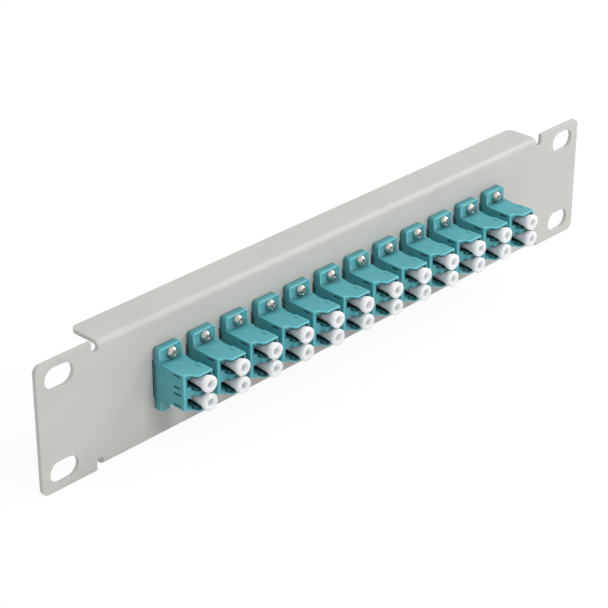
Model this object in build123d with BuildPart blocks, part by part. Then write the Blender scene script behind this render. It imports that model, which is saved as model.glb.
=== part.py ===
# Ten-inch rack patch panel for fibre: a folded sheet front with a row of duplex couplers and dust caps.

from build123d import *
import os

# Frame: X runs along the panel, -Y is the front, Z is up.
# The origin is the centre of the four rack slots on the rear face of the sheet.

# Sheet front with its two folded edges
panel_width = 254.0
ear_width = 23.8
ear_height = 44.0
sheet = 1.5
fold_height = 42.6  # outside of the top fold to outside of the bottom fold
fold_depth = 12.8  # front face to the rear edge of a fold
fold_radius = 2.2  # outside of the bend
fold_corner = 2.6
ear_corner = 2.5
relief_width = 2.5
relief_depth = 3.8  # below the edge of the ear
slot_inset = 8.75  # end of the panel to the centre of a rack slot
rack_spacing_z = 31.75
rack_slot_length = 10.8
rack_slot_height = 7.2

# Row of couplers
coupler_count = 12
coupler_pitch = 14.04
latch_side = 4.9  # line of the screws to the side of the coupler with the latches
far_side = 4.5  # line of the screws to its other side
body_height = 12.6
cutout_clearance = 0.2
ear_plate_height = 21.6  # the coupler's own fixing plate
ear_plate_thickness = 3.0
ear_plate_corner = 0.6

# Mouth of a coupler, in front of the fixing plate
latch_side_reach = 10.6
far_side_reach = 13.6
mouth_flat = 6.5  # straight part of the mouth, from the far side
latch_shelf = 1.5  # short straight part, from the latch side
scoop_slope = 0.3  # how far the shelf and the side of the mouth lean
scoop_corner = 1.1  # cuts the inner corner between them

# Ports: a square cavity that runs on past the catch, and a latch channel beside it
port_pitch = 6.25
far_wall = 1.2
cavity = 4.6
catch_length = 1.5
channel_height = 2.5
latch_wall = 1.0
port_floor = 1.2  # wall on each side of the weld seam

# Hollow along the far side
hollow_depth = 0.8
hollow_start = 3.0
hollow_length = 4.5

# Ferrule tube and the split sleeve in it
tube_radius = 1.35
tube_lip = 0.6
sleeve_length = 6.8
sleeve_radius = 0.8
sleeve_wall = 0.2
sleeve_slit = 0.35
sleeve_clearance = 0.08

# Fixing screws and nuts
screw_spacing = 17.4
screw_radius = 1.0
screw_clearance = 0.2
head_radius = 1.95
head_height = 1.6
nut_across_flats = 4.0
nut_height = 1.6
screw_tail = 0.6

# Dust caps
cap_shank_radius = 2.05
cap_head_radius = 2.75
cap_reach = 2.55  # end face in front of the mouth
cap_head_length = 1.2
cap_flare_length = 1.5
cap_bore_clearance = 0.25
cap_floor_gap = 0.5
cap_tip_gap = 0.6
cap_hole_radius = 1.15
cap_hole_depth = 5.0

# Small round forms are drawn with few sides, because they are repeated many times
round_sides = 8
bore_sides = 6

# Worked out from the sizes above
fold_width = panel_width - 2 * ear_width
rack_spacing_x = panel_width - 2 * slot_inset
seam_y = -sheet - ear_plate_thickness / 2
mouth_y = ear_plate_thickness / 2 + far_side_reach  # seam to the far side of the mouth
latch_mouth_y = ear_plate_thickness / 2 + latch_side_reach
coupler_width = latch_side + far_side
body_x = (far_side - latch_side) / 2
port_x = far_side - far_wall - cavity / 2
tube_length = sleeve_length / 2 + sleeve_clearance + tube_lip
screw_hole_radius = screw_radius + screw_clearance
coupler_places = [((i - (coupler_count - 1) / 2) * coupler_pitch) for i in range(coupler_count)]
port_places = [("upper", port_pitch / 2), ("lower", -port_pitch / 2)]

os.makedirs("parts", exist_ok=True)


def save(piece, name):
    piece.label = name
    export_step(piece, f"parts/{name}.step")


# A round of few sides whose flats are at the given radius, one of them facing +X
def small_round(radius, sides, mode=Mode.ADD):
    return RegularPolygon(radius, sides, major_radius=False, rotation=180 / sides, mode=mode)


# Sheet front: a channel folded from sheet, with a flat ear beyond each relief notch
with BuildPart() as front_panel:
    with BuildSketch(Plane.YZ.offset(-fold_width / 2)):
        with BuildLine():
            FilletPolyline(
                (fold_depth - sheet, -fold_height / 2),
                (-sheet, -fold_height / 2),
                (-sheet, fold_height / 2),
                (fold_depth - sheet, fold_height / 2),
                radius=fold_radius,
            )
            offset(amount=sheet, side=Side.RIGHT)
        make_face()
    extrude(amount=fold_width)
    fold_corners = front_panel.edges().filter_by(Axis.Z).group_by(Axis.Y)[-1]
    fillet(fold_corners, radius=fold_corner)
    with BuildSketch(Plane.XZ) as ear_sketch:
        with Locations(((panel_width - ear_width) / 2, 0)):
            Rectangle(ear_width, ear_height)
        fillet(ear_sketch.vertices().group_by(Axis.X)[-1], radius=ear_corner)
        notch_x = (fold_width + relief_width) / 2
        notch_floor = ear_height / 2 - relief_depth + relief_width / 2
        with Locations((notch_x, notch_floor), (notch_x, -notch_floor)):
            small_round(relief_width / 2, round_sides, mode=Mode.SUBTRACT)
        notch_middle = (ear_height / 2 + notch_floor) / 2
        with Locations((notch_x, notch_middle), (notch_x, -notch_middle)):
            Rectangle(relief_width, ear_height / 2 - notch_floor, mode=Mode.SUBTRACT)
        mirror(about=Plane.YZ)
    extrude(amount=sheet)
    with BuildSketch(Plane.XZ):
        with GridLocations(rack_spacing_x, rack_spacing_z, 2, 2):
            SlotOverall(rack_slot_length, rack_slot_height)
        with Locations((body_x, 0)):
            with GridLocations(coupler_pitch, 1, coupler_count, 1):
                Rectangle(coupler_width + 2 * cutout_clearance, body_height + 2 * cutout_clearance)
        with GridLocations(coupler_pitch, screw_spacing, coupler_count, 2):
            small_round(screw_hole_radius, bore_sides)
    extrude(amount=sheet, mode=Mode.SUBTRACT)
save(front_panel.part, "front_panel")


# Coupler, made as its front half with the weld seam on the XZ plane, then mirrored to the back
with BuildPart() as coupler:
    with BuildSketch(Plane.XZ) as plate_sketch:
        with Locations((body_x, 0)):
            Rectangle(coupler_width, ear_plate_height)
        chamfer(plate_sketch.vertices(), length=ear_plate_corner)
        with Locations((0, screw_spacing / 2), (0, -screw_spacing / 2)):
            small_round(screw_hole_radius, bore_sides, mode=Mode.SUBTRACT)
        slot_height = (ear_plate_height - screw_spacing) / 2
        with Locations((0, -(screw_spacing + slot_height) / 2)):
            Rectangle(2 * screw_hole_radius, slot_height, mode=Mode.SUBTRACT)
    extrude(amount=ear_plate_thickness / 2)
    with BuildSketch(Plane.XY.offset(-body_height / 2)):
        hollow_y = -ear_plate_thickness / 2 - hollow_start
        mouth_x = far_side - mouth_flat
        shelf_y = latch_mouth_y + scoop_slope
        with BuildLine():
            Polyline(
                (-latch_side, -latch_mouth_y),
                (-latch_side, 0),
                (far_side, 0),
                (far_side, hollow_y),
                (far_side - hollow_depth, hollow_y),
                (far_side - hollow_depth, hollow_y - hollow_length),
                (far_side, hollow_y - hollow_length),
                (far_side, -mouth_y),
                (mouth_x, -mouth_y),
                (mouth_x - scoop_slope, -shelf_y - scoop_corner),
                (-latch_side + latch_shelf, -shelf_y),
                close=True,
            )
        make_face()
    extrude(amount=body_height)
    # T-shaped ports
    with BuildSketch(Plane.XZ.offset(port_floor)):
        cavity_x = port_x - catch_length / 2
        channel_width = coupler_width - far_wall - cavity - catch_length - latch_wall
        channel_x = -latch_side + latch_wall + channel_width / 2
        with GridLocations(1, port_pitch, 1, 2):
            with Locations((cavity_x, 0)):
                Rectangle(cavity + catch_length, cavity)
            with Locations((channel_x, 0)):
                Rectangle(channel_width, channel_height)
    extrude(amount=mouth_y, mode=Mode.SUBTRACT)
    # Ferrule tubes, bored for the sleeve
    with BuildSketch(Plane.XZ):
        with Locations((port_x, port_pitch / 2), (port_x, -port_pitch / 2)):
            small_round(tube_radius, bore_sides)
    extrude(amount=tube_length)
    with BuildSketch(Plane.XZ):
        with Locations((port_x, port_pitch / 2), (port_x, -port_pitch / 2)):
            small_round(sleeve_radius + sleeve_clearance, bore_sides)
    extrude(amount=tube_length, mode=Mode.SUBTRACT)
    mirror(about=Plane.XZ)

# Split sleeve in which two ferrules meet
with BuildPart() as split_sleeve:
    with BuildSketch(Plane.XZ):
        small_round(sleeve_radius, bore_sides)
        small_round(sleeve_radius - sleeve_wall, bore_sides, mode=Mode.SUBTRACT)
        with Locations((0, -sleeve_radius)):
            Rectangle(sleeve_slit, sleeve_radius, mode=Mode.SUBTRACT)
    extrude(amount=sleeve_length / 2, both=True)

# Pan-head screw with its seat under the head on the XZ plane
screw_length = ear_plate_thickness + sheet + nut_height + screw_tail
with BuildPart() as flange_screw:
    with BuildSketch(Plane.XZ):
        small_round(head_radius, round_sides)
    extrude(amount=head_height)
    with BuildSketch(Plane.XZ):
        small_round(screw_radius, bore_sides)
    extrude(amount=-screw_length)

with BuildPart() as flange_nut:
    with BuildSketch(Plane.XZ):
        small_round(nut_across_flats / 2, bore_sides)
        small_round(screw_radius, bore_sides, mode=Mode.SUBTRACT)
    extrude(amount=-nut_height)

# Dust cap: a hollow shank over the ferrule tube, flared to a round head
cap_start = port_floor + cap_floor_gap
cap_end = mouth_y + cap_reach
flare_start = cap_end - cap_head_length - cap_flare_length
with BuildPart() as dust_cap:
    with BuildSketch(Plane.XZ.offset(flare_start)):
        small_round(cap_head_radius, round_sides)
    extrude(amount=cap_end - flare_start)
    flare_back = dust_cap.faces().sort_by(Axis.Y)[-1]
    chamfer(
        flare_back.edges(),
        length=cap_head_radius - cap_shank_radius,
        length2=cap_flare_length,
        reference=flare_back,
    )
    with BuildSketch(Plane.XZ.offset(cap_start)):
        small_round(cap_shank_radius, round_sides)
    extrude(amount=flare_start - cap_start)
    with BuildSketch(Plane.XZ.offset(cap_start)):
        small_round(tube_radius + cap_bore_clearance, round_sides)
    extrude(amount=tube_length + cap_tip_gap - cap_start, mode=Mode.SUBTRACT)
    with BuildSketch(Plane.XZ.offset(cap_end)):
        small_round(cap_hole_radius, bore_sides)
    extrude(amount=-cap_hole_depth, mode=Mode.SUBTRACT)

# Every coupler gets its two caps
for i, x in enumerate(coupler_places, start=1):
    save(coupler.part.moved(Location((x, seam_y, 0))), f"coupler_{i:02d}")
    for level, z in port_places:
        save(dust_cap.part.moved(Location((x + port_x, seam_y, z))), f"dust_cap_{i:02d}_{level}")

# Like small pieces share a node
sleeve_spots = [(x + port_x, seam_y, z) for x in coupler_places for level, z in port_places]
save(
    Compound(children=[split_sleeve.part.moved(Location(spot)) for spot in sleeve_spots]),
    "alignment_sleeves",
)
screw_heights = (screw_spacing / 2, -screw_spacing / 2)
screw_spots = [(x, -sheet - ear_plate_thickness, z) for x in coupler_places for z in screw_heights]
save(
    Compound(children=[flange_screw.part.moved(Location(spot)) for spot in screw_spots]),
    "flange_screws",
)
nut_spots = [(x, 0, z) for x in coupler_places for z in screw_heights]
save(
    Compound(children=[flange_nut.part.moved(Location(spot)) for spot in nut_spots]),
    "flange_nuts",
)
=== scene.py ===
import bmesh
import bpy
import math
import random
from mathutils import Matrix, Vector


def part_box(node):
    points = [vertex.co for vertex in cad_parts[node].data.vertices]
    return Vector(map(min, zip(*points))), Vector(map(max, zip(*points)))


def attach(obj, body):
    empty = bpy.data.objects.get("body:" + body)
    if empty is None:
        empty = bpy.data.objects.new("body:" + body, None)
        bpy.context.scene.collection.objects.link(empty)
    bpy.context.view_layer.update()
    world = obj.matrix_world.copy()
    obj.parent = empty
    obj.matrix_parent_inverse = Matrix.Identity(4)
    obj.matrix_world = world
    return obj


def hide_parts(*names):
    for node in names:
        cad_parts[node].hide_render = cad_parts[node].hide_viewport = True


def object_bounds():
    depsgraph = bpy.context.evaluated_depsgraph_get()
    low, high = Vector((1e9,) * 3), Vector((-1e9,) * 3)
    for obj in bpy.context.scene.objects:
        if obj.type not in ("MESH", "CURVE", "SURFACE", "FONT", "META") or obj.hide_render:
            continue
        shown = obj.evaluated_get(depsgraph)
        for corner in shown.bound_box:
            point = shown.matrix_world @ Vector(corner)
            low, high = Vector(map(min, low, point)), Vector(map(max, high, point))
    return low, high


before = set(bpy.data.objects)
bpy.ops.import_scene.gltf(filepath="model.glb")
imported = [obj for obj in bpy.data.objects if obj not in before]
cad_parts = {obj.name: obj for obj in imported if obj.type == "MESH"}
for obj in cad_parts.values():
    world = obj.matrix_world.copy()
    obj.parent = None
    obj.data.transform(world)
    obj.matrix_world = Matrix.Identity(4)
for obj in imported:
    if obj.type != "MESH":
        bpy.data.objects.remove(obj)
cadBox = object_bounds()
scene = bpy.context.scene
mm = 0.001
axisX, axisY, axisZ = 0, 1, 2
print("Frame loaded with", len(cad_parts), "nodes")

# Distances below which two places count as one, the angle below which two faces are one flat
# face, and the share of a direction that has to lie along an axis
tolerance = {
    "cadMerge": 0.002 * mm,
    "turnMerge": 0.001 * mm,
    "cut": 0.0001 * mm,
    "onPlane": 0.01 * mm,
    "flatAngle": 0.5,
    "faceShare": 0.99,
    "edgeShare": 0.999,
}


# A screen colour, 0 to 255, as a linear colour
def screenColour(red, green, blue):
    linear = []
    for value in (red / 255, green / 255, blue / 255):
        linear.append(value / 12.92 if value <= 0.04045 else ((value + 0.055) / 1.055) ** 2.4)
    return (*linear, 1)


# Noise gathers round its middle value, so only this part of its range is spread over a finish
noiseSpread = {"colour": (0.35, 0.65), "roughness": (0.3, 0.7)}
nodeSpacing = {"column": 300, "row": 150}


# Columns are counted to the left and rows upwards from the shader
def addNode(tree, kind, column, row):
    node = tree.nodes.new(kind)
    node.location = (-column * nodeSpacing["column"], row * nodeSpacing["row"])
    return node


# Noise on Object coordinates; size is the width of one patch in metres
def addNoise(tree, place, size, detail, row):
    noise = addNode(tree, "ShaderNodeTexNoise", 3, row)
    noise.inputs["Scale"].default_value = 1 / size
    noise.inputs["Detail"].default_value = detail
    tree.links.new(place.outputs["Object"], noise.inputs["Vector"])
    return noise


def shaderOf(finish):
    return finish.node_tree.nodes["Principled BSDF"]


def mixColours(tree, noise, shader, first, second):
    ramp = addNode(tree, "ShaderNodeValToRGB", 2, 2)
    for stop, position, colour in zip(ramp.color_ramp.elements, noiseSpread["colour"], (first, second)):
        stop.position = position
        stop.color = colour
    tree.links.new(noise.outputs["Fac"], ramp.inputs["Fac"])
    tree.links.new(ramp.outputs["Color"], shader.inputs["Base Color"])


def varyRoughness(tree, noise, shader, low, high):
    spread = addNode(tree, "ShaderNodeMapRange", 2, 0)
    spread.inputs["From Min"].default_value = noiseSpread["roughness"][0]
    spread.inputs["From Max"].default_value = noiseSpread["roughness"][1]
    spread.inputs["To Min"].default_value = low
    spread.inputs["To Max"].default_value = high
    tree.links.new(noise.outputs["Fac"], spread.inputs["Value"])
    tree.links.new(spread.outputs["Result"], shader.inputs["Roughness"])


def addBump(tree, noise, shader, depth, strength):
    bump = addNode(tree, "ShaderNodeBump", 1, -2)
    bump.inputs["Distance"].default_value = depth
    bump.inputs["Strength"].default_value = strength
    tree.links.new(noise.outputs["Fac"], bump.inputs["Height"])
    tree.links.new(bump.outputs["Normal"], shader.inputs["Normal"])


# A finish has two near colours in soft patches, and a fine grain for its gloss and relief
def newFinish(name, look):
    finish = bpy.data.materials.new(name)
    finish.use_nodes = True
    tree = finish.node_tree
    shader = shaderOf(finish)
    place = addNode(tree, "ShaderNodeTexCoord", 4, 0)
    patches = addNoise(tree, place, look["patchSize"], look["patchDetail"], 2)
    mixColours(tree, patches, shader, look["colour"], look["secondColour"])
    grain = addNoise(tree, place, look["grainSize"], look["grainDetail"], -2)
    varyRoughness(tree, grain, shader, *look["roughness"])
    addBump(tree, grain, shader, look["grainDepth"], look["grainStrength"])
    return finish


# Painted highlight: the rounded edges, marked on the mesh, get a paler colour that stands in for the light
# caught on them
def paintEdgeHighlights(finish, colour):
    tree, shader = finish.node_tree, shaderOf(finish)
    marks = addNode(tree, "ShaderNodeAttribute", 2, 4)
    marks.attribute_name = "paintedEdgeHighlight"
    mix = addNode(tree, "ShaderNodeMix", 1, 4)
    mix.data_type = "RGBA"
    mix.inputs["B"].default_value = colour
    tree.links.new(marks.outputs["Fac"], mix.inputs["Factor"])
    tree.links.new(shader.inputs["Base Color"].links[0].from_socket, mix.inputs["A"])
    tree.links.new(mix.outputs["Result"], shader.inputs["Base Color"])


# Painted shade: the base colour is darkened by ambient occlusion in corners and crevices narrower than the
# reach
def paintCreviceShade(finish, reach, samples):
    tree, shader = finish.node_tree, shaderOf(finish)
    creviceShade = addNode(tree, "ShaderNodeAmbientOcclusion", 1, 2)
    creviceShade.samples = samples
    creviceShade.inputs["Distance"].default_value = reach
    tree.links.new(shader.inputs["Base Color"].links[0].from_socket, creviceShade.inputs["Color"])
    tree.links.new(creviceShade.outputs["Color"], shader.inputs["Base Color"])


# Light grey powder coat with a fine orange peel
powderCoat = {
    "colour": screenColour(198, 196, 191),
    "secondColour": screenColour(202, 200, 195),
    "patchSize": 18 * mm,
    "patchDetail": 3,
    "roughness": (0.44, 0.52),
    "grainSize": 0.75 * mm,
    "grainDetail": 2,
    "grainDepth": 0.02 * mm,
    "grainStrength": 0.35,
}
panelCoat = newFinish("panelPowderCoat", powderCoat)

# Moulded aqua plastic with a fine spark-eroded grain, with a painted highlight on its rounded edges and
# painted shade in its corners and crevices
mouldedPlastic = {
    "colour": screenColour(81, 164, 173),
    "secondColour": screenColour(87, 171, 179),
    "patchSize": 6 * mm,
    "patchDetail": 2,
    "roughness": (0.42, 0.52),
    "grainSize": 0.22 * mm,
    "grainDetail": 1,
    "grainDepth": 0.006 * mm,
    "grainStrength": 0.4,
    "paintedHighlightColour": screenColour(106, 200, 209),
    "paintedShadeReach": 2.6 * mm,
    "paintedShadeSamples": 8,
}
couplerPlastic = newFinish("couplerAquaPlastic", mouldedPlastic)
# Painted highlight on the rounded edges, then painted shade in the corners and crevices
paintEdgeHighlights(couplerPlastic, mouldedPlastic["paintedHighlightColour"])
paintCreviceShade(couplerPlastic, mouldedPlastic["paintedShadeReach"], mouldedPlastic["paintedShadeSamples"])

# Soft white cap plastic that lets a little light through
softPlastic = {
    "colour": screenColour(246, 246, 247),
    "secondColour": screenColour(243, 244, 245),
    "patchSize": 3 * mm,
    "patchDetail": 2,
    "roughness": (0.38, 0.5),
    "grainSize": 0.9 * mm,
    "grainDetail": 1,
    "grainDepth": 0.01 * mm,
    "grainStrength": 0.3,
    "glow": 1,
    "glowReach": 3.0 * mm,
    "glowColour": (1, 0.9, 0.85),
}
capPlastic = newFinish("capWhitePlastic", softPlastic)
shader = shaderOf(capPlastic)
shader.inputs["Subsurface Weight"].default_value = softPlastic["glow"]
shader.inputs["Subsurface Scale"].default_value = softPlastic["glowReach"]
shader.inputs["Subsurface Radius"].default_value = softPlastic["glowColour"]

# Nickel-plated steel of the screws and nuts
platedSteel = {
    "colour": screenColour(214, 210, 204),
    "secondColour": screenColour(196, 192, 187),
    "patchSize": 1.2 * mm,
    "patchDetail": 3,
    "roughness": (0.2, 0.36),
    "grainSize": 0.15 * mm,
    "grainDetail": 2,
    "grainDepth": 0.004 * mm,
    "grainStrength": 0.35,
}
screwSteel = newFinish("screwPlatedSteel", platedSteel)
shaderOf(screwSteel).inputs["Metallic"].default_value = 1

# Phosphor bronze of the split sleeves
springBronze = {
    "colour": screenColour(214, 160, 104),
    "secondColour": screenColour(196, 140, 88),
    "patchSize": 0.8 * mm,
    "patchDetail": 2,
    "roughness": (0.24, 0.38),
    "grainSize": 0.12 * mm,
    "grainDetail": 1,
    "grainDepth": 0.003 * mm,
    "grainStrength": 0.3,
}
sleeveBronze = newFinish("sleeveBronze", springBronze)
shaderOf(sleeveBronze).inputs["Metallic"].default_value = 1
print("Materials made")


# A CAD node's triangles in one closed shape, with its flat faces whole again
def mergedCopy(node):
    shape = bmesh.new()
    shape.from_mesh(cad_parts[node].data)
    bmesh.ops.remove_doubles(shape, verts=shape.verts, dist=tolerance["cadMerge"])
    flatAngle = math.radians(tolerance["flatAngle"])
    bmesh.ops.dissolve_limit(shape, angle_limit=flatAngle, verts=shape.verts, edges=shape.edges)
    return shape


def sharpEdges(shape, angle):
    found = []
    for edge in shape.edges:
        if len(edge.link_faces) == 2 and edge.is_convex and edge.calc_face_angle(0) > math.radians(angle):
            found.append(edge)
    return found


# Rounds the edges, and marks the new faces where a mark layer is given
def soften(shape, edges, width, segments, mark=None):
    rounded = bmesh.ops.bevel(
        shape, geom=edges, offset=width, offset_type="OFFSET", affect="EDGES", segments=segments,
        profile=0.5, material=-1, clamp_overlap=False, loop_slide=False,
    )
    if mark:
        for face in rounded["faces"]:
            face[mark] = 1


# Each rounded corner of a turned profile gets this many segments
roundingSegments = 3


# A profile of (radius, distance along the axis, rounding) corners, turned about the Y axis
def turned(corners, steps):
    shape = bmesh.new()
    points = [shape.verts.new((radius, along, 0)) for radius, along, rounding in corners]
    for first, second in zip(points, points[1:]):
        shape.edges.new((first, second))
    for point, corner in zip(points, corners):
        rounding = corner[2]
        if rounding:
            bmesh.ops.bevel(
                shape, geom=[point], offset=rounding, offset_type="OFFSET", affect="VERTICES",
                segments=roundingSegments, profile=0.5, material=-1,
            )
    bmesh.ops.spin(
        shape, geom=shape.verts[:] + shape.edges[:], cent=(0, 0, 0), axis=(0, 1, 0),
        angle=math.tau, steps=steps, use_merge=True,
    )
    bmesh.ops.remove_doubles(shape, verts=shape.verts, dist=tolerance["turnMerge"])
    bmesh.ops.recalc_face_normals(shape, faces=shape.faces)
    return shape


# Faces wider than flatArea stay flat, so that a rounded edge beside them doesn't bend their shading
flatArea = 1.2 * mm * mm


def makeMesh(shape, name, material, smoothAngle):
    mesh = bpy.data.meshes.new(name)
    shape.to_mesh(mesh)
    mesh.materials.clear()
    mesh.materials.append(material)
    mesh.polygons.foreach_set("use_smooth", [face.area < flatArea for face in mesh.polygons])
    mesh.polygons.foreach_set("material_index", [0] * len(mesh.polygons))
    mesh.set_sharp_from_angle(angle=math.radians(smoothAngle))
    return mesh


def addPiece(mesh, name, body, nodes):
    piece = bpy.data.objects.new(name, mesh)
    scene.collection.objects.link(piece)
    weights = piece.modifiers.new("flatFaces", "WEIGHTED_NORMAL")
    weights.keep_sharp = True
    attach(piece, body)
    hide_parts(*nodes)


def boxMiddle(node):
    low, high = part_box(node)
    return (low + high) / 2


# The folded sheet front keeps its CAD form, with softened edges
sheetFront = {
    "sharpAngle": 40,
    "edgeRadius": 0.22 * mm,
    "edgeSegments": 3,
    "smoothAngle": 38,
}
shape = mergedCopy("front_panel")
sheetEdges = sharpEdges(shape, sheetFront["sharpAngle"])
soften(shape, sheetEdges, sheetFront["edgeRadius"], sheetFront["edgeSegments"])
mesh = makeMesh(shape, "panelSheet", panelCoat, sheetFront["smoothAngle"])
shape.free()
addPiece(mesh, "panelSheet", "panel", ["front_panel"])
print("Sheet front made")

# Sizes of a coupler are taken from its own middle, on the weld seam
coupler = {
    "count": 12,
    "halfWidth": 4.7 * mm,
    "halfHeight": 6.3 * mm,
    "plateHalfHeight": 10.8 * mm,
    "plateHalfDepth": 1.5 * mm,
    "latchMouth": 12.1 * mm,
    "mouth": 15.1 * mm,
    "screwLine": 0.2 * mm,
    "screwHeight": 8.7 * mm,
    "smoothAngle": 38,
}
couplerEdges = {
    "sharpAngle": 40,
    "bodyRadius": 0.4 * mm,
    "plateRadius": 0.32 * mm,
    "edgeSegments": 3,
    "scoopAngles": (25, 40),
    "scoopCurve": 0.5 * mm,
    "mouthCornerAngles": (70, 85),
    "mouthCornerCurve": 1.1 * mm,
    "curveSegments": 4,
    "farCornerRadius": 0.8 * mm,
    "farCornerSegments": 5,
    "plateCornerAngles": (40, 50),
    "plateCornerRadius": 0.3 * mm,
    "screwHoleReach": 2 * mm,
    "plateEndReach": 0.8 * mm,
}
portInside = {
    "axis": 1.2 * mm,
    "pitch": 6.25 * mm,
    "halfCavity": 2.3 * mm,
    "ribThickness": 0.6 * mm,
    "ribReach": 0.55 * mm,
    "ribMiddle": -1.4 * mm,
    "ribStart": 1.2 * mm,
    "ribEnd": 14.2 * mm,
    "ribOverlap": 0.01 * mm,
    "tubeRadius": 1.5 * mm,
    "tubeWall": 0.5 * mm,
    "tubeStart": 1.1 * mm,
    "tubeEnd": 4.1 * mm,
    "tubeRounding": 0.12 * mm,
    "lipRadius": 0.7 * mm,
    "lipLength": 0.6 * mm,
    "lipRounding": 0.1 * mm,
    "steps": 32,
}
lockWindow = {
    "length": 2.85 * mm,
    "height": 0.64 * mm,
    "offset": 1.95 * mm,
    "setback": 1.6 * mm,
    "depth": 0.8 * mm,
}
sideSlot = {
    "length": 2.1 * mm,
    "width": 0.36 * mm,
    "setback": 3.6 * mm,
    "inset": 1.9 * mm,
    "depth": 0.22 * mm,
}
clipRecess = {
    "bottom": -7.3 * mm,
    "top": 5.7 * mm,
    "front": 0.62 * mm,
    "back": 1.14 * mm,
    "depth": 0.4 * mm,
}


# The faces that lie square to an axis at one level
def facesOnWall(shape, axis, level):
    found = []
    for face in shape.faces:
        isSquare = abs(face.normal[axis]) > tolerance["faceShare"]
        if isSquare and abs(face.verts[0].co[axis] - level) < tolerance["onPlane"]:
            found.append(face)
    return found


def cutFaces(shape, faces, point, normal):
    edges = [edge for face in faces for edge in face.edges]
    verts = [vert for face in faces for vert in face.verts]
    parts = list(dict.fromkeys(faces + edges + verts))
    bmesh.ops.bisect_plane(shape, geom=parts, dist=tolerance["cut"], plane_co=point, plane_no=normal)


# Pushes faces along an offset and leaves walls behind them; returns the moved corners
def pushFaces(shape, faces, offset):
    pushed = bmesh.ops.extrude_face_region(shape, geom=faces)
    corners = [part for part in pushed["geom"] if isinstance(part, bmesh.types.BMVert)]
    bmesh.ops.delete(shape, geom=[face for face in faces if face.is_valid], context="FACES")
    bmesh.ops.translate(shape, verts=corners, vec=offset)
    return corners


# A pocket in one flat wall: the wall is cut at the pocket's sides, and what is inside goes in
def pressPocket(shape, axis, level, low, high, push):
    others = [other for other in (axisX, axisY, axisZ) if other != axis]
    shape.normal_update()
    for other, start, end in zip(others, low, high):
        for spot in (start, end):
            normal, point = Vector(), Vector()
            normal[other] = 1
            point[other] = spot
            cutFaces(shape, facesOnWall(shape, axis, level), point, normal)
    inside = []
    for face in facesOnWall(shape, axis, level):
        middle = face.calc_center_bounds()
        if all(start < middle[other] < end for other, start, end in zip(others, low, high)):
            inside.append(face)
    offset = Vector()
    offset[axis] = push
    pushFaces(shape, inside, offset)


# Shallow windows in the side wall, beside the latch channel
def pressLockWindows(shape, end):
    near = coupler["latchMouth"] - lockWindow["setback"]
    along = sorted((end * near, end * (near - lockWindow["length"])))
    for port in (-0.5, 0.5):
        for side in (-1, 1):
            height = port * portInside["pitch"] + side * lockWindow["offset"]
            pressPocket(
                shape, axisX, -coupler["halfWidth"],
                (along[0], height - lockWindow["height"] / 2),
                (along[1], height + lockWindow["height"] / 2), lockWindow["depth"],
            )


# A narrow slot in the top and bottom walls
def pressSideSlots(shape, end):
    across = coupler["halfWidth"] - sideSlot["inset"]
    near = coupler["mouth"] - sideSlot["setback"]
    along = sorted((end * near, end * (near - sideSlot["length"])))
    for side in (-1, 1):
        pressPocket(
            shape, axisZ, side * coupler["halfHeight"],
            (across - sideSlot["width"] / 2, along[0]),
            (across + sideSlot["width"] / 2, along[1]), -side * sideSlot["depth"],
        )


def edgeMiddle(edge):
    return (edge.verts[0].co + edge.verts[1].co) / 2


def isAlong(edge, axis):
    direction = edge.verts[1].co - edge.verts[0].co
    return abs(direction[axis]) > tolerance["edgeShare"] * direction.length


def isBetween(value, limits):
    return limits[0] < value < limits[1]


# How far a point lies from the nearest side wall, and from the top or bottom wall
def wallGaps(point):
    return abs(abs(point.x) - coupler["halfWidth"]), abs(abs(point.z) - coupler["halfHeight"])


# The curves of the scoop and the mouth, and the corners of the far side and the plate
def curveCorners(shape):
    tiny = tolerance["onPlane"]
    scoop, mouthCorners, farCorners, plateCorners = [], [], [], []
    for edge in shape.edges:
        if len(edge.link_faces) != 2:
            continue
        angle = math.degrees(edge.calc_face_angle(0))
        middle = edgeMiddle(edge)
        isUpright = isAlong(edge, axisZ)
        isMouthAngle = isBetween(angle, couplerEdges["mouthCornerAngles"])
        isPlateAngle = isBetween(angle, couplerEdges["plateCornerAngles"])
        isFarSide = middle.x > coupler["halfWidth"] - tiny
        isMouth = abs(middle.y) > coupler["mouth"] - tiny
        if isUpright and isBetween(angle, couplerEdges["scoopAngles"]) and not edge.is_convex:
            scoop.append(edge)
        elif isUpright and isMouthAngle and edge.is_convex and abs(middle.x) < coupler["halfWidth"] - tiny:
            mouthCorners.append(edge)
        elif isUpright and edge.is_convex and isFarSide and isMouth:
            farCorners.append(edge)
        elif isAlong(edge, axisY) and isPlateAngle and abs(middle.z) > coupler["halfHeight"] + tiny:
            plateCorners.append(edge)
    for edges, radius, segments in (
        (scoop, couplerEdges["scoopCurve"], couplerEdges["curveSegments"]),
        (mouthCorners, couplerEdges["mouthCornerCurve"], couplerEdges["curveSegments"]),
        (farCorners, couplerEdges["farCornerRadius"], couplerEdges["farCornerSegments"]),
        (plateCorners, couplerEdges["plateCornerRadius"], couplerEdges["edgeSegments"]),
    ):
        soften(shape, [edge for edge in edges if edge.is_valid], radius, segments)


# The rim of the fixing plate, but not of its screw holes
def findPlateEdges(shape):
    plateEnd = coupler["plateHalfHeight"] - couplerEdges["plateEndReach"]
    found = []
    for edge in sharpEdges(shape, couplerEdges["sharpAngle"]):
        middle = edgeMiddle(edge)
        gaps = [abs(abs(vert.co.y) - coupler["plateHalfDepth"]) for vert in edge.verts]
        isPastHoles = abs(middle.x) > couplerEdges["screwHoleReach"] or abs(middle.z) > plateEnd
        if max(gaps) < tolerance["onPlane"] and isPastHoles:
            found.append(edge)
    return found


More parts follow.
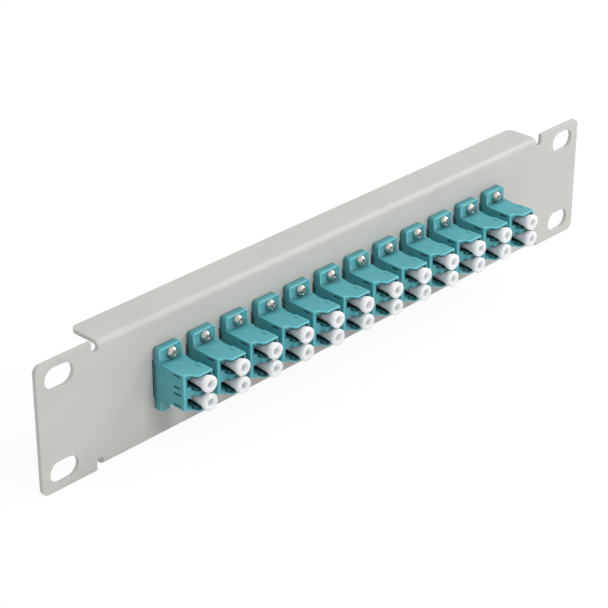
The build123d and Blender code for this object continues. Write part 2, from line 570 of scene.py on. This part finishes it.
# The outline of both mouths, and the long corners of the body between them
def findBodyEdges(shape):
    tiny = tolerance["onPlane"]
    found = []
    for edge in sharpEdges(shape, couplerEdges["sharpAngle"]):
        isMouth = all(abs(vert.co.y) > coupler["latchMouth"] - tiny for vert in edge.verts)
        isOutline = all(min(wallGaps(vert.co)) < tiny for vert in edge.verts)
        isLongCorner = isAlong(edge, axisY) and max(wallGaps(edgeMiddle(edge))) < tiny
        if (isMouth and isOutline) or isLongCorner:
            found.append(edge)
    return found


# Each kind of edge gets the radius that the moulding has there
def softenCoupler(shape):
    mark = shape.faces.layers.float.new("paintedEdgeHighlight")
    curveCorners(shape)
    segments = couplerEdges["edgeSegments"]
    # The faces of the plate rim and the body edges are marked for the painted edge highlight
    soften(shape, findPlateEdges(shape), couplerEdges["plateRadius"], segments, mark)
    soften(shape, findBodyEdges(shape), couplerEdges["bodyRadius"], segments, mark)


# A round ferrule tube with the lip that keeps the sleeve in
def ferruleTube():
    outer = portInside["tubeRadius"]
    inner = outer - portInside["tubeWall"]
    lipBack = portInside["tubeEnd"] - portInside["lipLength"]
    return turned([
        (outer, portInside["tubeStart"], 0),
        (outer, portInside["tubeEnd"], portInside["tubeRounding"]),
        (portInside["lipRadius"], portInside["tubeEnd"], portInside["lipRounding"]),
        (portInside["lipRadius"], lipBack, 0),
        (inner, lipBack, 0),
        (inner, portInside["tubeStart"], 0),
        (outer, portInside["tubeStart"], 0),
    ], portInside["steps"])


# A rib between a port and its catch, against the port's lower or upper wall
def addRib(shape, end, height, side):
    length = portInside["ribEnd"] - portInside["ribStart"]
    reach = portInside["ribReach"]
    rib = bmesh.ops.create_cube(shape, size=1)["verts"]
    bmesh.ops.scale(shape, verts=rib, vec=(portInside["ribThickness"], length, reach))
    bmesh.ops.translate(shape, verts=rib, vec=(
        portInside["ribMiddle"],
        end * (portInside["ribStart"] + length / 2),
        height + side * (portInside["halfCavity"] - reach / 2 + portInside["ribOverlap"]),
    ))


def addPortInside(shape):
    tube = ferruleTube()
    tubeMesh = bpy.data.meshes.new("ferruleTube")
    tube.to_mesh(tubeMesh)
    tube.free()
    for end in (-1, 1):
        turn = Matrix.Rotation(math.pi if end < 0 else 0, 4, "Z")
        for port in (-0.5, 0.5):
            height = port * portInside["pitch"]
            placed = tubeMesh.copy()
            placed.transform(Matrix.Translation((portInside["axis"], 0, height)) @ turn)
            shape.from_mesh(placed)
            bpy.data.meshes.remove(placed)
            for side in (-1, 1):
                addRib(shape, end, height, side)
    bpy.data.meshes.remove(tubeMesh)


shape = mergedCopy("coupler_01")
bmesh.ops.translate(shape, verts=shape.verts, vec=-boxMiddle("coupler_01"))
for end in (-1, 1):
    pressLockWindows(shape, end)
    pressSideSlots(shape, end)
softenCoupler(shape)
# The clip's recess in the side of the fixing plate keeps sharp edges
pressPocket(
    shape, axisX, -coupler["halfWidth"], (clipRecess["front"], clipRecess["bottom"]),
    (clipRecess["back"], clipRecess["top"]), clipRecess["depth"],
)
addPortInside(shape)
couplerMesh = makeMesh(shape, "coupler", couplerPlastic, coupler["smoothAngle"])
shape.free()
for number in range(1, coupler["count"] + 1):
    node = f"coupler_{number:02d}"
    mesh = couplerMesh.copy()
    mesh.transform(Matrix.Translation(boxMiddle(node)))
    addPiece(mesh, f"coupler{number:02d}", "panel", [node])
print("Couplers made")

# A dust cap, from its end face backwards
dustCap = {
    "headRadius": 2.75 * mm,
    "headLength": 1.3 * mm,
    "rimRounding": 0.4 * mm,
    "shoulderRounding": 0.5 * mm,
    "flareLength": 1.5 * mm,
    "neckRadius": 2.2 * mm,
    "neckLength": 3.0 * mm,
    "neckRounding": 0.6 * mm,
    "shankRadius": 2.0 * mm,
    "tipRounding": 0.15 * mm,
    "holeRadius": 1.2 * mm,
    "holeDepth": 5.0 * mm,
    "holeRounding": 0.4 * mm,
    "holeEndRounding": 0.15 * mm,
    "boreRadius": 1.6 * mm,
    "boreDepth": 2.98 * mm,
    "boreRounding": 0.1 * mm,
    "steps": 40,
    "smoothAngle": 50,
}
capLow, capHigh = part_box("dust_cap_01_upper")
capLength = capHigh.y - capLow.y
flareEnd = dustCap["headLength"] + dustCap["flareLength"]
boreEnd = capLength - dustCap["boreDepth"]
shape = turned([
    (0, dustCap["holeDepth"], 0),
    (dustCap["holeRadius"], dustCap["holeDepth"], dustCap["holeEndRounding"]),
    (dustCap["holeRadius"], 0, dustCap["holeRounding"]),
    (dustCap["headRadius"], 0, dustCap["rimRounding"]),
    (dustCap["headRadius"], dustCap["headLength"], dustCap["shoulderRounding"]),
    (dustCap["neckRadius"], flareEnd, dustCap["neckRounding"]),
    (dustCap["shankRadius"], flareEnd + dustCap["neckLength"], dustCap["neckRounding"]),
    (dustCap["shankRadius"], capLength, dustCap["tipRounding"]),
    (dustCap["boreRadius"], capLength, dustCap["boreRounding"]),
    (dustCap["boreRadius"], boreEnd, 0),
    (0, boreEnd, 0),
], dustCap["steps"])
capMesh = makeMesh(shape, "dustCap", capPlastic, dustCap["smoothAngle"])
shape.free()
for node in sorted(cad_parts):
    if node.startswith("dust_cap"):
        low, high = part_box(node)
        mesh = capMesh.copy()
        mesh.transform(Matrix.Translation(((low.x + high.x) / 2, low.y, (low.z + high.z) / 2)))
        number, level = node.split("_")[2:]
        addPiece(mesh, f"dustCap{number}{level.title()}", node, [node])
print("Dust caps made")

# A pan-head fixing screw, from its crown backwards
fixingScrew = {
    "flatRadius": 0.55 * mm,
    "flatDrop": 0.02 * mm,
    "crownRadius": 1.15 * mm,
    "crownDrop": 0.13 * mm,
    "crownRounding": 0.45 * mm,
    "headRadius": 1.86 * mm,
    "headHeight": 1.6 * mm,
    "skirtHeight": 0.6 * mm,
    "skirtRounding": 0.08 * mm,
    "shankRadius": 1.0 * mm,
    "rootRadius": 0.84 * mm,
    "threadPitch": 0.4 * mm,
    "threadTurns": 4,
    "rootShare": 0.45,
    "ridgeShare": 0.9,
    "steps": 32,
    "wander": 0.18 * mm,
    "seed": 11,
    "smoothAngle": 40,
}
crossRecess = {
    "width": 0.52 * mm,
    "span": 2.2 * mm,
    "depth": 0.75 * mm,
    "taper": 0.45,
    "cutDepth": 0.68 * mm,
    "crownDepth": 0.5 * mm,
}


# The thread is a row of rings, which at this size looks like a helix
def screwBody(length):
    skirtTop = fixingScrew["headHeight"] - fixingScrew["skirtHeight"]
    threadStart = length - fixingScrew["threadPitch"] * fixingScrew["threadTurns"]
    corners = [
        (0, 0, 0),
        (fixingScrew["flatRadius"], fixingScrew["flatDrop"], 0),
        (fixingScrew["crownRadius"], fixingScrew["crownDrop"], 0),
        (fixingScrew["headRadius"], skirtTop, fixingScrew["crownRounding"]),
        (fixingScrew["headRadius"], fixingScrew["headHeight"], fixingScrew["skirtRounding"]),
        (fixingScrew["shankRadius"], fixingScrew["headHeight"], 0),
        (fixingScrew["shankRadius"], threadStart, 0),
    ]
    for ring in range(fixingScrew["threadTurns"]):
        ringStart = threadStart + fixingScrew["threadPitch"] * ring
        root = ringStart + fixingScrew["threadPitch"] * fixingScrew["rootShare"]
        ridge = ringStart + fixingScrew["threadPitch"] * fixingScrew["ridgeShare"]
        corners += [(fixingScrew["rootRadius"], root, 0), (fixingScrew["shankRadius"], ridge, 0)]
    corners += [(fixingScrew["rootRadius"], length, 0), (0, length, 0)]
    return turned(corners, fixingScrew["steps"])


# The crown is cut along the cross, and the cross is pushed in and narrowed at its floor
def cutRecess(shape):
    halfWidth = crossRecess["width"] / 2
    halfSpan = crossRecess["span"] / 2
    for distance in (-halfSpan, -halfWidth, halfWidth, halfSpan):
        for direction in ((1, 0, 0), (0, 0, 1)):
            crown = [face for face in shape.faces if face.calc_center_median().y < crossRecess["cutDepth"]]
            cutFaces(shape, crown, Vector(direction) * distance, direction)
    cross = []
    for face in shape.faces:
        middle = face.calc_center_median()
        across, along = sorted((abs(middle.x), abs(middle.z)))
        if middle.y < crossRecess["crownDepth"] and across < halfWidth and along < halfSpan:
            cross.append(face)
    floorCorners = pushFaces(shape, cross, (0, crossRecess["depth"], 0))
    bmesh.ops.scale(shape, verts=floorCorners, vec=(crossRecess["taper"], 1, crossRecess["taper"]))


random.seed(fixingScrew["seed"])
screwLow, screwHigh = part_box("flange_screws")
shape = screwBody(screwHigh.y - screwLow.y)
cutRecess(shape)
screwMesh = makeMesh(shape, "fixingScrew", screwSteel, fixingScrew["smoothAngle"])
shape.free()
# Each screw sits a little off its hole's middle, with its cross turned at random
shape = bmesh.new()
for number in range(1, coupler["count"] + 1):
    middle = boxMiddle(f"coupler_{number:02d}")
    for height in (middle.z + coupler["screwHeight"], middle.z - coupler["screwHeight"]):
        wanderX = random.uniform(-1, 1) * fixingScrew["wander"]
        wanderZ = random.uniform(-1, 1) * fixingScrew["wander"]
        turn = Matrix.Rotation(random.uniform(0, math.pi / 2), 4, "Y")
        across = middle.x + coupler["screwLine"] + wanderX
        placed = screwMesh.copy()
        placed.transform(Matrix.Translation((across, screwLow.y, height + wanderZ)) @ turn)
        shape.from_mesh(placed)
        bpy.data.meshes.remove(placed)
mesh = makeMesh(shape, "fixingScrews", screwSteel, fixingScrew["smoothAngle"])
shape.free()
addPiece(mesh, "fixingScrews", "panel", ["flange_screws"])
print("Screws made")

# The nuts keep their CAD form, with small chamfers
hexNut = {
    "sharpAngle": 50,
    "chamfer": 0.14 * mm,
    "chamferSegments": 1,
    "smoothAngle": 30,
}
shape = mergedCopy("flange_nuts")
nutEdges = sharpEdges(shape, hexNut["sharpAngle"])
soften(shape, nutEdges, hexNut["chamfer"], hexNut["chamferSegments"])
mesh = makeMesh(shape, "fixingNuts", screwSteel, hexNut["smoothAngle"])
shape.free()
addPiece(mesh, "fixingNuts", "panel", ["flange_nuts"])
print("Nuts made")

# The split sleeves keep their CAD shape
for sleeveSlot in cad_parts["alignment_sleeves"].material_slots:
    sleeveSlot.material = sleeveBronze
print("Sleeves finished")

# The studio: a pale floor that looks white but keeps the shadow, a white sky and three soft boxes
studio = {
    "floorColour": (0.8, 0.8, 0.8, 1),
    "floorRoughness": 0.9,
    "floorSize": 6,
    "whiteShare": 0.9,
    "whiteStrength": 1.03,
    "skyColour": (1, 1, 1, 1),
    "skyStrength": 0.56,
    "reflectedSky": 0.8,
    "boxDistance": 1.3,
    "boxSize": 0.4,
}
shape = bmesh.new()
bmesh.ops.create_grid(shape, x_segments=1, y_segments=1, size=studio["floorSize"] / 2)
bmesh.ops.translate(shape, verts=shape.verts, vec=(0, 0, cadBox[0].z))
floorMesh = bpy.data.meshes.new("studioFloor")
shape.to_mesh(floorMesh)
shape.free()
floor = bpy.data.objects.new("studioFloor", floorMesh)
scene.collection.objects.link(floor)


# 1 for a ray from the camera, from a gloss or through a clear surface, and 0 for one that lights
def seenRays(tree, rays):
    seen = rays.outputs["Is Camera Ray"]
    for output in ("Is Glossy Ray", "Is Transmission Ray"):
        either = tree.nodes.new("ShaderNodeMath")
        either.operation = "MAXIMUM"
        tree.links.new(seen, either.inputs[0])
        tree.links.new(rays.outputs[output], either.inputs[1])
        seen = either.outputs[0]
    return seen


floorPaint = bpy.data.materials.new("studioFloorPaint")
floorPaint.use_nodes = True
tree, shader = floorPaint.node_tree, shaderOf(floorPaint)
shader.inputs["Base Color"].default_value = studio["floorColour"]
shader.inputs["Roughness"].default_value = studio["floorRoughness"]
shader.inputs["Specular IOR Level"].default_value = 0
glow = tree.nodes.new("ShaderNodeEmission")
glow.inputs["Strength"].default_value = studio["whiteStrength"]
share = tree.nodes.new("ShaderNodeMath")
share.operation = "MULTIPLY"
share.inputs[1].default_value = studio["whiteShare"]
blend = tree.nodes.new("ShaderNodeMixShader")
tree.links.new(seenRays(tree, tree.nodes.new("ShaderNodeLightPath")), share.inputs[0])
tree.links.new(share.outputs[0], blend.inputs["Fac"])
tree.links.new(shader.outputs["BSDF"], blend.inputs[1])
tree.links.new(glow.outputs["Emission"], blend.inputs[2])
tree.links.new(blend.outputs["Shader"], tree.nodes["Material Output"].inputs["Surface"])
floorMesh.materials.append(floorPaint)

world = bpy.data.worlds.new("studioSky")
scene.world = world
world.use_nodes = True
tree = world.node_tree
sky = tree.nodes["Background"]
sky.inputs["Color"].default_value = studio["skyColour"]
sky.inputs["Strength"].default_value = studio["skyStrength"]
white = tree.nodes.new("ShaderNodeBackground")
white.inputs["Color"].default_value = studio["skyColour"]
# Full white where the camera sees the sky itself, and a little weaker in a reflection
rays = tree.nodes.new("ShaderNodeLightPath")
whiteness = tree.nodes.new("ShaderNodeMath")
whiteness.operation = "MULTIPLY_ADD"
whiteness.inputs[1].default_value = 1 - studio["reflectedSky"]
whiteness.inputs[2].default_value = studio["reflectedSky"]
tree.links.new(rays.outputs["Is Camera Ray"], whiteness.inputs[0])
tree.links.new(whiteness.outputs[0], white.inputs["Strength"])
blend = tree.nodes.new("ShaderNodeMixShader")
tree.links.new(seenRays(tree, rays), blend.inputs["Fac"])
tree.links.new(sky.outputs["Background"], blend.inputs[1])
tree.links.new(white.outputs["Background"], blend.inputs[2])
tree.links.new(blend.outputs["Shader"], tree.nodes["World Output"].inputs["Surface"])

# Azimuth 0 stands in front of the panel, 90 at its right end; elevation is above the horizon
softBoxes = {
    "keyBox": {"azimuth": 4, "elevation": 40, "power": 5.4},
    "sideBox": {"azimuth": 70, "elevation": 36, "power": 5.6},
    "rearBox": {"azimuth": 217, "elevation": 40, "power": 1.4},
}


def towards(azimuth, elevation):
    across, up = math.radians(azimuth), math.radians(elevation)
    return Vector((math.sin(across) * math.cos(up), -math.cos(across) * math.cos(up), math.sin(up)))


for name, box in softBoxes.items():
    light = bpy.data.lights.new(name, "AREA")
    light.shape = "SQUARE"
    light.size = studio["boxSize"]
    light.energy = box["power"]
    lamp = bpy.data.objects.new(name, light)
    scene.collection.objects.link(lamp)
    direction = towards(box["azimuth"], box["elevation"])
    lamp.location = direction * studio["boxDistance"]
    lamp.rotation_euler = direction.to_track_quat("Z", "Y").to_euler()

# The camera stands where it sees the panel at the photograph's angle and size
productCamera = {
    "azimuth": -46.227,
    "elevation": 27.948,
    "roll": 0.084,
    "distance": 0.68491,
    "aim": (-9.489 * mm, 4.977 * mm, -4.471 * mm),
    "lens": 123.62,
    "sensorWidth": 36,
    "nearest": 0.01,
    "farthest": 50,
}
backward = towards(productCamera["azimuth"], productCamera["elevation"])
cameraData = bpy.data.cameras.new("productCamera")
cameraData.lens = productCamera["lens"]
cameraData.sensor_width = productCamera["sensorWidth"]
cameraData.clip_start = productCamera["nearest"]
cameraData.clip_end = productCamera["farthest"]
camera = bpy.data.objects.new("productCamera", cameraData)
scene.collection.objects.link(camera)
camera.rotation_mode = "QUATERNION"
level = backward.to_track_quat("Z", "Y").to_matrix().to_4x4()
roll = Matrix.Rotation(math.radians(productCamera["roll"]), 4, "Z")
camera.rotation_quaternion = (level @ roll).to_quaternion()
camera.location = Vector(productCamera["aim"]) + backward * productCamera["distance"]
scene.camera = camera
scene.view_settings.view_transform = "Standard"
print("Floor, lights and camera made")
